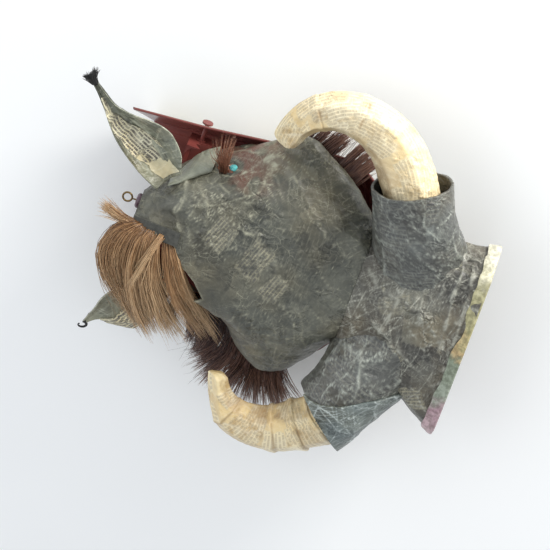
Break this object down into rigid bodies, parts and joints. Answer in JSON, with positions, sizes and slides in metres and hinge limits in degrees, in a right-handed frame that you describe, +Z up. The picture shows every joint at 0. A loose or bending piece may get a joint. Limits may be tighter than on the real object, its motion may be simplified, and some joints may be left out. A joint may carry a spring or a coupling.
{
  "type": "hand puppet",
  "caption": "Warthog-head hand puppet in papier-mache over card, with curved paper tusks, folded ears, hair mane and a hinged red-lined jaw.",
  "frame": {"origin": "middle of the jaw's flat floor, on its underside", "axes": "+X to the snout, +Y to the animal's left, +Z up"},
  "size_m": [0.401, 0.3623, 0.128],
  "materials": {
    "paper_hide": "grey-green papier-mache with pale creases, satin varnish",
    "paper_snout": "brown-grey papier-mache, satin varnish",
    "paper_temple": "pale grey-green papier-mache",
    "paper_jaw": "grey papier-mache",
    "magazine_paper": "pieces of coloured magazine paper",
    "card": "corrugated card",
    "red_lining": "glossy dark red",
    "plywood": "bare birch plywood",
    "dowel": "bare beech",
    "wire": "dull bronze",
    "tusk_paper": "cream newsprint with faint grey print, satin varnish",
    "stuffing": "crumpled newsprint",
    "ear_card": "painted card",
    "ear_print": "yellowed newsprint",
    "black_thread": "black thread",
    "eye_brown": "reddish brown, varnished",
    "bead": "faceted turquoise",
    "brown_hair": "reddish dark brown goat hair",
    "ginger_hair": "ginger goat hair",
    "plum_paper": "plum-coloured paper, satin varnish",
    "hide": "raw hide",
    "webbing": "black cotton webbing"
  },
  "bodies": {
    "jaw": {"jaw_shell": "paper_jaw", "jaw_lining": "red_lining", "thumb_strap": "webbing", "hinge_pins": "wire", "hinge_washers": "wire"},
    "head": {"head_shell": "paper_hide", "snout_shell": "paper_snout", "snout_rim": "magazine_paper", "nose_board": "paper_snout", "palate_board": "card", "palate_lining": "red_lining", "rear_former": "plywood", "screw_eye": "wire", "crest_stub": "plum_paper", "left_tusk_socket": "paper_snout", "right_tusk_socket": "paper_snout", "left_tusk": "tusk_paper", "right_tusk": "tusk_paper", "left_tusk_core": "stuffing", "right_tusk_core": "stuffing", "tusk_crossbar": "dowel", "left_ear": "ear_card", "right_ear": "ear_card", "left_ear_lining": "ear_print", "right_ear_lining": "ear_print", "left_ear_tassel": "black_thread", "right_ear_curl": "black_thread", "left_temple_flap": "paper_temple", "right_temple_flap": "paper_temple", "left_eye_socket": "eye_brown", "right_eye_socket": "eye_brown", "left_eye_bead": "bead", "right_eye_bead": "bead", "left_lash_tuft": "brown_hair", "right_lash_tuft": "brown_hair", "mane_strip": "hide", "mane_hair": "ginger_hair", "left_whiskers": "brown_hair", "right_whiskers": "brown_hair", "finger_strap": "webbing", "left_hinge_block": "plywood", "right_hinge_block": "plywood"}
  },
  "joints": [
    {"name": "mouth_hinge", "type": "hinge", "parent": "jaw", "child": "head", "pos_m": [-0.078, 0, 0.038], "axis": [0, -1, 0], "range_deg": [0, 28]}
  ]
}
